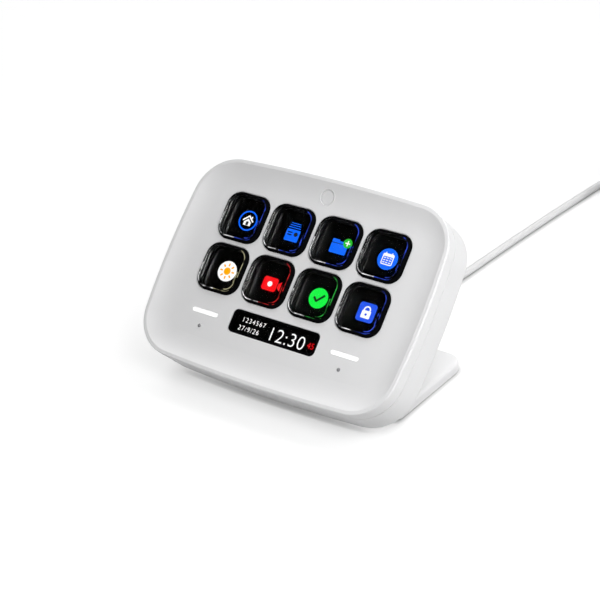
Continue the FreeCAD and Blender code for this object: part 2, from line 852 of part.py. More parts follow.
def stand_body():
    """The V of the stand, with its round corners, screw holes and pad recesses."""
    slope_y, slope_z = math.cos(LEAN), math.sin(LEAN)
    top = head_point(0, leg_top_rise, back_level)
    leg_back = V(0, slope_z * stand_thickness, -slope_y * stand_thickness)
    inner_run = (stand_thickness + stand_thickness * slope_y) / slope_z
    inner = V(0, APEX_Y + inner_run * slope_y, pad_proud + inner_run * slope_z) + leg_back
    half = stand_width / 2
    points = [
        V(0, APEX_Y, pad_proud),
        V(0, FOOT_END, pad_proud),
        V(0, FOOT_END, pad_proud + stand_thickness),
        inner,
        top + leg_back,
        top,
    ]
    outline = Part.makePolygon([p + V(-half, 0, 0) for p in points + points[:1]])
    shape = Part.Face(outline).extrude(V(stand_width, 0, 0))

    def edges_at(point, along_x):
        found = []
        for edge in shape.Edges:
            middle = edge.CenterOfMass
            flat = math.hypot(middle.y - point.y, middle.z - point.z)
            runs = abs(edge.Vertexes[0].X - edge.Vertexes[-1].X) > half
            if flat < stand_thickness / 4 and runs == along_x:
                found.append(edge)
        return found

    shape = shape.makeFillet(stand_bend_radius, edges_at(points[0], True))
    shape = shape.makeFillet(stand_inner_radius, edges_at(inner, True))
    foot_corner = V(0, FOOT_END, pad_proud + stand_thickness / 2)
    shape = shape.makeFillet(stand_corner_radius, edges_at(foot_corner, False))
    shape = shape.makeFillet(stand_corner_radius, edges_at(top + leg_back / 2, False))
    crest = pad_proud + stand_thickness
    upper = []
    for edge in shape.Edges:
        box = edge.BoundBox
        if box.ZMin > crest - shank_clearance and box.ZMax < crest + shank_clearance:
            if box.YMax > inner.y + stand_bend_radius:
                upper.append(edge)
    shape = shape.makeFillet(stand_edge_round, upper)
    tools = []
    for x, y in stand_places:
        level = back_level - stand_thickness
        tools.append(on_head(drum(stand_screw_radius + hole_clearance, x, y, back_level + overrun, level - overrun)))
        tools.append(on_head(drum(stand_head_radius + hole_clearance, x, y, level + stand_counterbore_depth, level - overrun)))
    for x, y in pad_places():
        tools.append(pad(x, y, pad_clearance, pad_proud + pad_recess, -overrun))
    return cut_all(shape, tools)


def pad_places():
    """Centres of the four rubber pads under the foot."""
    x = stand_width / 2 - pad_inset_x - pad_width / 2
    front = APEX_Y + stand_bend_radius / math.tan(LEAN / 2) + pad_depth
    back = FOOT_END - pad_inset_y - pad_depth / 2
    return [(sx * x, y) for sx in (-1, 1) for y in (front, back)]


def pad(x, y, grow, top, bottom):
    """One long pad with round ends, made larger by grow for its recess."""
    corner = (pad_depth + 2 * grow) * end_round_share
    return slab(pad_width + 2 * grow, pad_depth + 2 * grow, corner, x, y, top, bottom)


def stand_pads():
    """Rubber pads that the stand rests on."""
    return Part.makeCompound([pad(x, y, 0, pad_proud + pad_recess, 0) for x, y in pad_places()])


# Route of the cable from the tip of the strain relief: it slopes to the desk and runs back along it.
cable_radius = cable_diameter / 2
relief_tip = head_point(exit_offset, exit_rise, back_level - relief_collar_thickness - relief_length)
exit_heading = head_direction(0, 0, -1)
cable_route = [
    relief_tip,
    relief_tip + exit_heading * cable_start_run,
    V(8.4, 60.8, 11.5),
    V(8.3, 82.2, 1.5),
    V(10.0, 120.0, 1.5),
    V(12.3, 158.0, 1.5),
    V(15.2, 194.0, 1.5),
    V(17.0, 212.0, 1.5),
]


def rounded_path(points):
    """Straight runs joined by tangent arcs as large as the runs allow, and the arcs' radii."""
    edges = []
    radii = []
    here = points[0]
    for before, corner, after in zip(points, points[1:], points[2:]):
        back = before - corner
        ahead = after - corner
        half_turn = (math.pi - back.getAngle(ahead)) / 2
        share = arc_share * min(back.Length, ahead.Length)
        start = corner + back.normalize() * share
        end = corner + ahead.normalize() * share
        radius = share / math.tan(half_turn)
        inward = (back + ahead).normalize()
        middle = corner + inward * (radius / math.cos(half_turn) - radius)
        edges.append(Part.LineSegment(here, start).toShape())
        edges.append(Part.Arc(start, middle, end).toShape())
        radii.append(radius)
        here = end
    edges.append(Part.LineSegment(here, points[-1]).toShape())
    return Part.Wire(edges), radii


def tube(path, radius):
    """A round tube along a path."""
    edge = path.Edges[0]
    start = edge.valueAt(edge.FirstParameter)
    heading = edge.tangentAt(edge.FirstParameter)
    circle = Part.Wire([Part.Circle(start, heading, radius).toShape()])
    return path.makePipeShell([circle], True, False)


def arc_from(start, heading, end):
    """The arc that leaves start along heading and reaches end."""
    chord = end - start
    angle = heading.getAngle(chord)
    reach = chord.Length / 2 / math.cos(angle)
    knee = start + heading * reach
    middle = (start + end) / 2
    outward = (knee - middle).normalize()
    return Part.Arc(start, middle + outward * (chord.Length / 2 * math.tan(angle / 2)), end).toShape()


def biarc(start, heading, end, last_heading):
    """Two arcs that join smoothly and carry one heading over into the other."""
    gap = end - start
    both = heading + last_heading
    a = 2 * (heading.dot(last_heading) - 1)
    b = -2 * gap.dot(both)
    c = gap.dot(gap)
    reach = 2 * c / (math.sqrt(b * b - 4 * a * c) - b)
    joint = (start + end + (heading - last_heading) * reach) / 2
    first = arc_from(start, heading, joint)
    second = arc_from(end, last_heading * -1, joint)
    return [first, second]


coil_outer_radius = coil_inner_radius + coil_turns_in_layer * coil_pitch
coil_heading = (cable_route[-1] - cable_route[-2]).normalize()
coil_entry = cable_route[-1] + coil_heading * cable_diameter
coil_drift = coil_pitch / (2 * math.pi)
coil_start_angle = math.atan2(coil_heading.y, coil_heading.x) + math.pi / 2
coil_start_angle += math.atan(coil_drift / coil_outer_radius)
coil_centre = coil_entry - V(math.cos(coil_start_angle), math.sin(coil_start_angle), 0) * coil_outer_radius


def coil_state(turned):
    """Radius, its change, height and its change after turning through an angle from the entry."""
    layer_angle = 2 * math.pi * coil_turns_in_layer
    layer = min(int(turned / layer_angle + 1e-9), coil_layers - 1)
    inside = turned - layer * layer_angle
    inward = layer % 2 == 0
    edge = math.pi / 2
    base = coil_outer_radius - coil_drift * inside if inward else coil_inner_radius + coil_drift * inside
    drift = -coil_drift if inward else coil_drift
    height = cable_radius + layer * coil_pitch
    slope = 0
    late = inside - (layer_angle - edge)
    early = edge - inside
    if late > 0 and layer < coil_layers - 1:
        share = late / (2 * edge)
        bow = coil_drift * late ** 2 / (4 * edge)
        base += bow if inward else -bow
        drift += (coil_drift * late / (2 * edge)) * (1 if inward else -1)
        height += coil_pitch * share ** 2 * (3 - 2 * share)
        slope = coil_pitch * 6 * share * (1 - share) / (2 * edge)
    if early > 0 and layer > 0:
        share = (inside + edge) / (2 * edge)
        bow = coil_drift * early ** 2 / (4 * edge)
        base += bow if inward is False else -bow
        drift += (coil_drift * early / (2 * edge)) * (-1 if inward is False else 1)
        height += coil_pitch * (share ** 2 * (3 - 2 * share) - 1)
        slope = coil_pitch * 6 * share * (1 - share) / (2 * edge)
    return base, drift, height, slope


def coil_node(turned, radius, drift, height, slope):
    """A point of the coil and its heading, for clockwise turns."""
    angle = coil_start_angle - turned
    out = V(math.cos(angle), math.sin(angle), 0)
    ahead = V(math.sin(angle), -math.cos(angle), 0)
    point = V(coil_centre.x, coil_centre.y, height) + out * radius
    return point, (out * drift + ahead * radius + V(0, 0, slope)).normalize()


def coil_nodes():
    """Points and headings every quarter turn, with the lead that comes down outside the coil to the plug."""
    quarter = math.pi / 2
    count = 4 * coil_turns_in_layer * coil_layers
    nodes = [coil_node(n * quarter, *coil_state(n * quarter)) for n in range(count + 1)]
    whole = count * quarter
    top = cable_radius + (coil_layers - 1) * coil_pitch
    plug_axis = plug_thickness / 2
    mid_radius = coil_outer_radius + (lead_out_radius - coil_outer_radius) * lead_out_first_share
    mid_height = top + (plug_axis - top) * lead_out_drop_share
    mid_drift = coil_drift
    mid_slope = (plug_axis - top) / math.pi
    nodes.append(coil_node(whole + quarter, mid_radius, mid_drift, mid_height, mid_slope))
    nodes.append(coil_node(whole + 2 * quarter, lead_out_radius, 0, plug_axis, 0))
    return nodes


def coil_path():
    """The coil's centreline: straight at its entry and before the plug, biarcs between."""
    nodes = coil_nodes()
    first, first_heading = nodes[0]
    last, last_heading = nodes[-1]
    edges = [Part.LineSegment(first - first_heading * cable_diameter, first).toShape()]
    for (a, heading_a), (b, heading_b) in zip(nodes, nodes[1:]):
        edges += biarc(a, heading_a, b, heading_b)
    edges.append(Part.LineSegment(last, last + last_heading * plug_lead).toShape())
    return Part.Wire(Part.sortEdges(edges)[0])


def least_gap(path, diameter):
    """The least space between turns of a path's tube, from points along it."""
    spacing = diameter / 2
    points = path.discretize(int(path.Length / spacing))
    skip = int(3 * math.pi * diameter / 2 / spacing) + 1
    least = path.Length
    for i, p in enumerate(points):
        for q in points[i + skip:]:
            least = min(least, p.distanceToPoint(q))
    return least - diameter


PLUG_BACK, PLUG_HEADING = coil_nodes()[-1]
PLUG_BACK = PLUG_BACK + PLUG_HEADING * plug_lead
PLUG_PLACE = FreeCAD.Placement(PLUG_BACK, FreeCAD.Rotation(V(1, 0, 0), PLUG_HEADING))


def on_plug(shape):
    """A plug piece built along X from the cable's end, put in its place."""
    moved = shape.copy()
    moved.transformShape(PLUG_PLACE.toMatrix(), True)
    return moved


def plug_block(width, thickness, corner, start, end):
    """A bar along X with round long edges."""
    bar = slab(width, thickness, corner, 0, 0, end, start)
    bar.rotate(V(0, 0, 0), V(0, 0, 1), 90)
    bar.rotate(V(0, 0, 0), V(0, 1, 0), 90)
    return bar


def usb_plug_body():
    """Moulded grip with a tapered neck where the cable enters."""
    neck = Part.makeCone(cable_radius + lip_radius, plug_neck_radius, plug_neck_length, V(0, 0, 0), V(1, 0, 0))
    grip = plug_block(plug_width, plug_thickness, plug_round, plug_neck_length, plug_neck_length + plug_length)
    ends = [edge for edge in grip.Edges if edge.BoundBox.XLength < shank_clearance]
    grip = grip.makeFillet(plug_round / 2, ends)
    return on_plug(fuse_all(grip, [neck]))


def usb_plug_shell():
    """Folded metal shell of the plug, open at its end, with two holes in each broad side."""
    start = plug_neck_length + plug_length
    end = start + plug_shell_length
    shape = plug_block(plug_shell_width, plug_shell_thickness, plug_shell_wall, start, end)
    inner_w = plug_shell_width - 2 * plug_shell_wall
    inner_t = plug_shell_thickness - 2 * plug_shell_wall
    hollow = plug_block(inner_w, inner_t, plug_shell_wall / 2, start + plug_shell_wall, end + overrun)
    tools = [hollow]
    for side in (-1, 1):
        corner = V(
            start + plug_shell_length * plug_hole_share,
            side * plug_shell_width / 4 - plug_hole_size / 2,
            -plug_shell_thickness,
        )
        tools.append(Part.makeBox(plug_hole_size, plug_hole_size, 2 * plug_shell_thickness, corner))
    return on_plug(cut_all(shape, tools))


def usb_plug_tongue():
    """Insulating tongue inside the plug's shell."""
    start = plug_neck_length + plug_length + plug_shell_wall
    end = plug_neck_length + plug_length + plug_shell_length - plug_tongue_gap
    width = plug_shell_width - 2 * plug_shell_wall - plug_tongue_gap
    inner_half = plug_shell_thickness / 2 - plug_shell_wall
    middle = plug_tongue_thickness / 2 - inner_half + plug_shell_wall / 4
    bar = plug_block(width, plug_tongue_thickness, plug_shell_wall / 2, start, end)
    bar.translate(V(0, 0, middle))
    return on_plug(bar)


def save(name, shape):
    """Writes one piece, after a test that it is a sound solid."""
    for solid in shape.Solids:
        if not solid.isValid() or solid.Volume <= 0:
            print("unsound solid in", name, solid.Volume)
    shape.exportStep("parts/" + name + ".step")


def build_head():
    """Every piece that leans with the head."""
    save("front_bezel", on_head(front_bezel()))
    save("rear_shell", on_head(rear_shell()))
    for number, (x, y) in enumerate(key_places()):
        save("key_cap_" + str(number + 1), on_head(key_cap(x, y)))
    save("key_membrane", on_head(key_membrane()))
    save("contact_sheet", on_head(contact_sheet()))
    panel = slab(sheet_width, sheet_height, sheet_corner, 0, array_rise, contact_bottom, panel_bottom)
    save("main_display", on_head(panel))
    light = slab(sheet_width, sheet_height, sheet_corner, 0, array_rise, panel_bottom, backlight_bottom)
    save("backlight", on_head(light))
    save("panel_carrier", on_head(panel_carrier()))
    save("info_window", on_head(info_window()))
    info_panel = slab(
        info_width + info_lip,
        info_height + info_lip,
        sheet_corner,
        0,
        info_y,
        info_panel_top,
        info_panel_bottom,
    )
    save("info_display", on_head(info_panel))
    cushion = slab(
        info_width - 2 * cushion_inset - 2 * pocket_clearance,
        info_height - cushion_inset - 2 * pocket_clearance,
        sheet_corner,
        0,
        info_y,
        info_panel_bottom,
        backlight_bottom,
    )
    save("info_cushion", on_head(cushion))
    save("light_guide_left", on_head(light_guide(-1)))
    save("light_guide_right", on_head(light_guide(1)))
    save("touch_board_left", on_head(touch_board(-1)))
    save("touch_board_right", on_head(touch_board(1)))
    save("status_leds", on_head(Part.makeCompound([status_led(-1), status_led(1)])))
    save("main_board", on_head(main_board()))
    save("board_chips", on_head(board_chips()))
    save("cable_connector", on_head(cable_connector()))
    save("inner_leads", on_head(inner_leads()))
    save("display_flex", on_head(flex_strip(array_rise, backlight_bottom, -1)))
    save("flex_sockets", on_head(flex_socket(array_rise, -1)))
    save("case_screws", on_head(case_screws()))
    save("board_screws", on_head(board_screws()))
    save("stand_screws", on_head(stand_screws()))
    save("strain_relief", on_head(strain_relief()))


def build_stand():
    """The stand and its pads."""
    save("stand", stand_body())
    save("stand_pads", stand_pads())


def build_cable():
    """The free cable, its coil and its plug, with the radii and gaps that were asked of them."""
    path, radii = rounded_path(cable_route)
    run = tube(path, cable_radius)
    section = math.pi * cable_radius ** 2
    print("cable arc radii", [round(r, 1) for r in radii])
    print("cable run", round(path.Length, 1), "volume ratio", round(run.Volume / section / path.Length, 4))
    save("cable_run", run)
    winding = coil_path()
    coil = tube(winding, cable_radius)
    print("coil", round(winding.Length, 1), "volume ratio", round(coil.Volume / section / winding.Length, 4))
    print("coil least gap", round(least_gap(winding, cable_diameter), 2))
    print("cable length", round(path.Length + winding.Length, 1))
    save("cable_coil", coil)
    save("usb_plug_body", usb_plug_body())
    save("usb_plug_shell", usb_plug_shell())
    save("usb_plug_tongue", usb_plug_tongue())


os.makedirs("parts", exist_ok=True)
build_head()
build_stand()
build_cable()
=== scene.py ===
import math

import bmesh
import bpy
from mathutils import Matrix, Vector


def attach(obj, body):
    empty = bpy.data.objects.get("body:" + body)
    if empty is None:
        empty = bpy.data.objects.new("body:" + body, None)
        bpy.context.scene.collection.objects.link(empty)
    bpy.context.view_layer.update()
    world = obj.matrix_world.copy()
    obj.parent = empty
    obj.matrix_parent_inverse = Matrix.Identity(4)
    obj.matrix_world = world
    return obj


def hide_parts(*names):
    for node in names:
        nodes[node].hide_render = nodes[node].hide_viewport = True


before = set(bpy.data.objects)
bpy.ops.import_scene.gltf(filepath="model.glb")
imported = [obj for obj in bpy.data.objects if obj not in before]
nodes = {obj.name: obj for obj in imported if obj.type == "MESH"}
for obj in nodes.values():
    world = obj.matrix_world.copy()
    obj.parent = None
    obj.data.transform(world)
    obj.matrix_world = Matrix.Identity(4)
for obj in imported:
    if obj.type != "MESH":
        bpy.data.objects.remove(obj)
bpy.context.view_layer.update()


# View of the pad: the camera stands above and to the right of it, a long lens away,
# turned a little about its own axis as in the photograph.
camera_place = Vector((0.32358, -0.44292, 0.32069))
camera_right = Vector((0.816317, 0.576468, -0.036197))
camera_up = Vector((-0.243603, 0.400425, 0.883356))
camera_data = bpy.data.cameras.new("camera")
camera_data.sensor_width = 36
camera_data.lens = 105.79
camera_data.clip_start = 0.01
camera = bpy.data.objects.new("camera", camera_data)
bpy.context.scene.collection.objects.link(camera)
camera_back = camera_right.cross(camera_up)
camera_axes = Matrix((camera_right, camera_up, camera_back)).transposed().to_4x4()
camera.matrix_world = Matrix.Translation(camera_place) @ camera_axes
bpy.context.scene.camera = camera
bpy.context.scene.view_settings.view_transform = "Standard"


# Cable: a round white jacket 3 mm thick and 1.5 m long. It hangs from the back of the head
# to the desk and runs back along it, and its spare length is wound up where it ends.
cable_thickness = 0.003
cable_route = [
    (0.0085, 0.033864, 0.035013),
    (0.0085, 0.043294, 0.026064),
    (0.0084, 0.0608, 0.0115),
    (0.0083, 0.0822, 0.0015),
    (0.0100, 0.1200, 0.0015),
    (0.0123, 0.1580, 0.0015),
    (0.0152, 0.1940, 0.0015),
    (0.0170, 0.2120, 0.0015),
]
coil_inner = 0.011
coil_step = 0.0035
coil_turns = 3
coil_floors = 4
coil_points = 16
middle_weight = 0.75
neighbours_weight = 0.25
lead_radius = 0.0254
lead_points = 8
lead_ease = 0.9
plug_axis_height = 0.004
plug_lead = 0.012

coil_outer = coil_inner + coil_turns * coil_step
coil_drift = coil_step / (2 * math.pi)
coil_heading = (Vector(cable_route[-1]) - Vector(cable_route[-2])).normalized()
coil_entry = Vector(cable_route[-1]) + coil_heading * cable_thickness
coil_angle = math.atan2(coil_heading.y, coil_heading.x) + math.pi / 2 + math.atan(coil_drift / coil_outer)
coil_centre = coil_entry - Vector((math.cos(coil_angle), math.sin(coil_angle), 0)) * coil_outer


def coil_point(wound, radius, height):
    """A control point of the cable in its coil, which lies a little outside the line that it draws."""
    angle = coil_angle - wound
    reach = radius / (middle_weight + neighbours_weight * math.cos(2 * math.pi / coil_points))
    return coil_centre.x + math.cos(angle) * reach, coil_centre.y + math.sin(angle) * reach, height


# The coil winds inwards on its first floor, outwards on the next, and so on. Within a quarter turn
# of each change of floor its drift turns round and the cable climbs by one step.
floor_angle = 2 * math.pi * coil_turns
climb = math.pi / 2
coil_line = []
for number in range(2, coil_points * coil_turns * coil_floors):
    wound = number * 2 * math.pi / coil_points
    floor = int(wound / floor_angle)
    inside = wound - floor * floor_angle
    inward = floor % 2 == 0
    radius = coil_outer - coil_drift * inside if inward else coil_inner + coil_drift * inside
    height = cable_thickness / 2 + floor * coil_step
    sign = 1 if inward else -1
    late = inside - floor_angle + climb
    early = climb - inside
    if late > 0 and floor < coil_floors - 1:
        share = late / (2 * climb)
        radius += sign * coil_drift * late ** 2 / (4 * climb)
        height += coil_step * share ** 2 * (3 - 2 * share)
    if early > 0 and floor > 0:
        share = (inside + climb) / (2 * climb)
        radius += -sign * coil_drift * early ** 2 / (4 * climb)
        height += coil_step * (share ** 2 * (3 - 2 * share) - 1)
    coil_line.append(coil_point(wound, radius, height))

# From the top floor the lead swings out and down to the plug, which lies on the desk.
whole_angle = floor_angle * coil_floors
top_height = cable_thickness / 2 + (coil_floors - 1) * coil_step
for number in range(lead_points):
    share = number / lead_points
    radius = coil_outer + (lead_radius - coil_outer) * math.sin(share * math.pi / 2) ** lead_ease
    height = top_height + (plug_axis_height - top_height) * share ** 2 * (3 - 2 * share)
    coil_line.append(coil_point(whole_angle + share * math.pi, radius, height))
end_angle = coil_angle - whole_angle - math.pi
plug_heading = Vector((math.sin(end_angle), -math.cos(end_angle), 0))
lead_end = coil_centre + Vector((math.cos(end_angle), math.sin(end_angle), 0)) * lead_radius
lead_end.z = plug_axis_height
plug_back = lead_end + plug_heading * plug_lead
coil_line += [tuple(lead_end), tuple(plug_back)]

cable_curve = bpy.data.curves.new("usb_cable", "CURVE")
cable_curve.dimensions = "3D"
cable_curve.bevel_depth = 1.0
cable_curve.bevel_resolution = 6
cable_curve.resolution_u = 6
cable_curve.use_fill_caps = True
cable_points = cable_route + coil_line
cable_spline = cable_curve.splines.new("NURBS")
cable_spline.points.add(len(cable_points) - 1)
for point, place in zip(cable_spline.points, cable_points):
    point.co = (*place, 1)
    point.radius = cable_thickness / 2
cable_spline.order_u = 3
cable_spline.use_endpoint_u = True
usb_cable = bpy.data.objects.new("usb_cable", cable_curve)
bpy.context.scene.collection.objects.link(usb_cable)
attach(usb_cable, "housing")
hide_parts("cable_run", "cable_coil")


gloss_patches = 60
noise_middle = 0.5


def make_grain():
    """The fine grain of a mould, with a slow drift of gloss, for every moulded or rubber piece."""
    group = bpy.data.node_groups.new("moulded_grain", "ShaderNodeTree")
    for name in ("Grain Size", "Grain Depth", "Gloss Drift", "Roughness"):
        group.interface.new_socket(name=name, in_out="INPUT", socket_type="NodeSocketFloat")
    for name in ("Roughness", "Shade"):
        group.interface.new_socket(name=name, in_out="OUTPUT", socket_type="NodeSocketFloat")
    group.interface.new_socket(name="Normal", in_out="OUTPUT", socket_type="NodeSocketVector")
    add = group.nodes.new
    link = group.links.new
    given = add("NodeGroupInput")
    shown = add("NodeGroupOutput")
    place = add("ShaderNodeTexCoord")
    invert = add("ShaderNodeMath")
    invert.operation = "DIVIDE"
    invert.inputs[0].default_value = 1
    link(given.outputs["Grain Size"], invert.inputs[1])
    fine = add("ShaderNodeTexNoise")
    fine.inputs["Detail"].default_value = 3
    link(place.outputs["Object"], fine.inputs["Vector"])
    link(invert.outputs[0], fine.inputs["Scale"])
    slow = add("ShaderNodeTexNoise")
    slow.inputs["Scale"].default_value = gloss_patches
    slow.inputs["Detail"].default_value = 2
    link(place.outputs["Object"], slow.inputs["Vector"])
    bump = add("ShaderNodeBump")
    bump.inputs["Strength"].default_value = 1
    link(given.outputs["Grain Depth"], bump.inputs["Distance"])
    link(fine.outputs["Fac"], bump.inputs["Height"])
    centred = add("ShaderNodeMath")
    centred.operation = "SUBTRACT"
    centred.inputs[1].default_value = noise_middle
    link(slow.outputs["Fac"], centred.inputs[0])
    drift = add("ShaderNodeMath")
    drift.operation = "MULTIPLY_ADD"
    link(centred.outputs[0], drift.inputs[0])
    link(given.outputs["Gloss Drift"], drift.inputs[1])
    link(given.outputs["Roughness"], drift.inputs[2])
    link(drift.outputs[0], shown.inputs["Roughness"])
    link(slow.outputs["Fac"], shown.inputs["Shade"])
    link(bump.outputs["Normal"], shown.inputs["Normal"])
    return group


moulded_grain = make_grain()


def moulded(name, colour, shade, roughness, grain_size, grain_depth, gloss_drift=0.06):
    """A material for moulded plastic or rubber: two close shades, grain and a drift of gloss."""
    material = bpy.data.materials.new(name)
    material.use_nodes = True
    tree = material.node_tree
    surface = tree.nodes["Principled BSDF"]
    grain = tree.nodes.new("ShaderNodeGroup")
    grain.node_tree = moulded_grain
    grain.inputs["Grain Size"].default_value = grain_size
    grain.inputs["Grain Depth"].default_value = grain_depth
    grain.inputs["Gloss Drift"].default_value = gloss_drift
    grain.inputs["Roughness"].default_value = roughness
    mix = tree.nodes.new("ShaderNodeMix")
    mix.data_type = "RGBA"
    mix.inputs["A"].default_value = (*colour, 1)
    mix.inputs["B"].default_value = (*shade, 1)
    tree.links.new(grain.outputs["Shade"], mix.inputs["Factor"])
    tree.links.new(mix.outputs["Result"], surface.inputs["Base Color"])
    tree.links.new(grain.outputs["Roughness"], surface.inputs["Roughness"])
    tree.links.new(grain.outputs["Normal"], surface.inputs["Normal"])
    return material


def dress(material, *names):
    """Gives CAD pieces their material."""
    for name in names:
        slots = nodes[name].material_slots
        if not slots:
            nodes[name].data.materials.append(material)
        for slot in slots:
            slot.material = material


jacket_white = moulded("jacket_white", (0.80, 0.80, 0.805), (0.76, 0.76, 0.765), 0.5, 0.0004, 0.000008)
usb_cable.data.materials.append(jacket_white)
dress(jacket_white, "strain_relief", "inner_leads")


# Plug: a white moulded grip, a folded steel shell and a pale tongue inside it. The grip is
# moulded onto the cable's end.
plug_white = moulded("plug_white", (0.82, 0.82, 0.825), (0.78, 0.78, 0.785), 0.4, 0.0003, 0.000008)
dress(plug_white, "usb_plug_body")
tongue_plastic = moulded("tongue_plastic", (0.70, 0.70, 0.70), (0.66, 0.66, 0.66), 0.45, 0.0003, 0.000005)
dress(tongue_plastic, "usb_plug_tongue", "cable_connector")


drawn_out = (1, 0.05, 1)
smoothest_share = 0.7
roughest_share = 1.4


def plated(name, colour, roughness, scratch_scale):
    """Plated steel with faint drawn lines along the piece."""
    material = bpy.data.materials.new(name)
    material.use_nodes = True
    tree = material.node_tree
    surface = tree.nodes["Principled BSDF"]
    surface.inputs["Metallic"].default_value = 1
    surface.inputs["Base Color"].default_value = (*colour, 1)
    place = tree.nodes.new("ShaderNodeTexCoord")
    stretch = tree.nodes.new("ShaderNodeMapping")
    stretch.inputs["Scale"].default_value = drawn_out
    lines = tree.nodes.new("ShaderNodeTexNoise")
    lines.inputs["Scale"].default_value = scratch_scale
    lines.inputs["Detail"].default_value = 4
    spread = tree.nodes.new("ShaderNodeMapRange")
    spread.inputs["To Min"].default_value = roughness * smoothest_share
    spread.inputs["To Max"].default_value = roughness * roughest_share
    tree.links.new(place.outputs["Object"], stretch.inputs["Vector"])
    tree.links.new(stretch.outputs["Vector"], lines.inputs["Vector"])
    tree.links.new(lines.outputs["Fac"], spread.inputs["Value"])
    tree.links.new(spread.outputs["Result"], surface.inputs["Roughness"])
    return material


plug_steel = plated("plug_steel", (0.62, 0.62, 0.63), 0.25, 4000)
dress(plug_steel, "usb_plug_shell")


# Housing: the scooped front bezel and the rear shell, both white satin mouldings that meet
# at a fine seam and are screwed together from behind. The bezel's rim is a flat lip.
housing_white = moulded("housing_white", (0.84, 0.84, 0.845), (0.81, 0.81, 0.815), 0.42, 0.00025, 0.000006)
dress(housing_white, "front_bezel", "rear_shell")


# Front details: a rounded rim inside the plain dimple above the keys, moulded with the bezel, and a glossy
# grey dome over each of the two touch points, whose grey is painted shade for the small bumps there.
lean = math.radians(46.5)
head_origin = Vector((0, -0.0064486, 0.0401821))
head = Matrix.Translation(head_origin) @ Matrix.Rotation(lean, 4, "X")
turning_steps = 64
weld_distance = 0.000001


def laid(name, mesh, place, *materials):
    """Makes a finished mesh an object of the scene, laid in its place."""
    bmesh.ops.transform(mesh, matrix=place, verts=mesh.verts[:])
    data = bpy.data.meshes.new(name)
    mesh.to_mesh(data)
    mesh.free()
    for material in materials:
        data.materials.append(material)
    piece = bpy.data.objects.new(name, data)
    bpy.context.scene.collection.objects.link(piece)
    return piece


def turned(name, profile, place, material):
    """A piece turned about its own axis from a profile of radius and height."""
    mesh = bmesh.new()
    spots = [mesh.verts.new((radius, 0, height)) for radius, height in profile]
    edges = [mesh.edges.new(pair) for pair in zip(spots, spots[1:])]
    bmesh.ops.spin(
        mesh, geom=spots + edges, axis=(0, 0, 1), angle=2 * math.pi, steps=turning_steps, use_merge=True
    )
    bmesh.ops.remove_doubles(mesh, verts=mesh.verts[:], dist=weld_distance)
    bmesh.ops.recalc_face_normals(mesh, faces=mesh.faces[:])
    for face in mesh.faces:
        face.smooth = True
    piece = laid(name, mesh, place, material)
    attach(piece, "housing")


scoop_radius = 0.020
dimple_past_foot = 0.00402
dimple_middle = (0, 0.03265, 0.000408)
dimple_tilt = math.asin(dimple_past_foot / scoop_radius)
dimple_place = head @ Matrix.Translation(dimple_middle) @ Matrix.Rotation(dimple_tilt, 4, "X")
rim_profile = [
    (0.00309, -0.00025),
    (0.00309, 0.00014),
    (0.00300, 0.00020),
    (0.00286, 0.00014),
    (0.00250, -0.00025),
]
turned("dimple_rim", rim_profile + rim_profile[:1], dimple_place, housing_white)

# The domes' grey is painted shade for the small touch bumps.
touch_shade_grey = moulded("touch_shade_grey", (0.26, 0.26, 0.265), (0.24, 0.24, 0.245), 0.14, 0.0004, 0.0)
touch_x = 0.0297
touch_y = -0.02405
dome_radius = 0.00074
dome_sink = 0.00017
dome_foot = 0.00002
dome_steps = 10
dome_step_angle = math.radians(7.5)
dome_angles = [step * dome_step_angle for step in range(dome_steps)]
dome_profile = [(dome_radius * math.sin(a), dome_radius * math.cos(a) - dome_sink) for a in dome_angles]
dome_profile.append((0, dome_foot))
for side, end in ((-1, "left"), (1, "right")):
    touch_place = head @ Matrix.Translation((side * touch_x, touch_y, 0))
    turned("touch_dome_" + end, dome_profile, touch_place, touch_shade_grey)


# Stand: a thick white moulding bent into a sharp V, screwed to the back of the head. Four
# grey rubber pads sit in its foot.
dress(housing_white, "stand")
pad_rubber = moulded("pad_rubber", (0.16, 0.16, 0.165), (0.12, 0.12, 0.125), 0.7, 0.0004, 0.00002)
dress(pad_rubber, "stand_pads")
screw_steel = plated("screw_steel", (0.55, 0.55, 0.56), 0.3, 6000)
dress(screw_steel, "stand_screws", "case_screws", "board_screws")


# Keys: clear polished caps with a crowned top, held behind the face by their flanges. Each has a black
# border of painted shade and painted glints of light round its edge, and the display shows through it.
key_columns = 4
key_rows = 2
key_count = key_columns * key_rows
key_pitch = 0.0198
array_rise = 0.00795
clear_index = 1.49
clear_patches = 90
clearest_share = 0.5
dullest_share = 1.5


def clear(name, tint, roughness):
    """Polished clear plastic with the faintest drift of gloss."""
    material = bpy.data.materials.new(name)
    material.use_nodes = True
    tree = material.node_tree
    surface = tree.nodes["Principled BSDF"]
    surface.inputs["Base Color"].default_value = (*tint, 1)
    surface.inputs["Transmission Weight"].default_value = 1
    surface.inputs["IOR"].default_value = clear_index
    place = tree.nodes.new("ShaderNodeTexCoord")
    slow = tree.nodes.new("ShaderNodeTexNoise")
    slow.inputs["Scale"].default_value = clear_patches
    spread = tree.nodes.new("ShaderNodeMapRange")
    spread.inputs["To Min"].default_value = roughness * clearest_share
    spread.inputs["To Max"].default_value = roughness * dullest_share
    tree.links.new(place.outputs["Object"], slow.inputs["Vector"])
    tree.links.new(slow.outputs["Fac"], spread.inputs["Value"])
    tree.links.new(spread.outputs["Result"], surface.inputs["Roughness"])
    return material


key_clear = clear("key_clear", (1.0, 1.0, 1.0), 0.02)
dress(key_clear, *["key_cap_%d" % number for number in range(1, key_count + 1)])
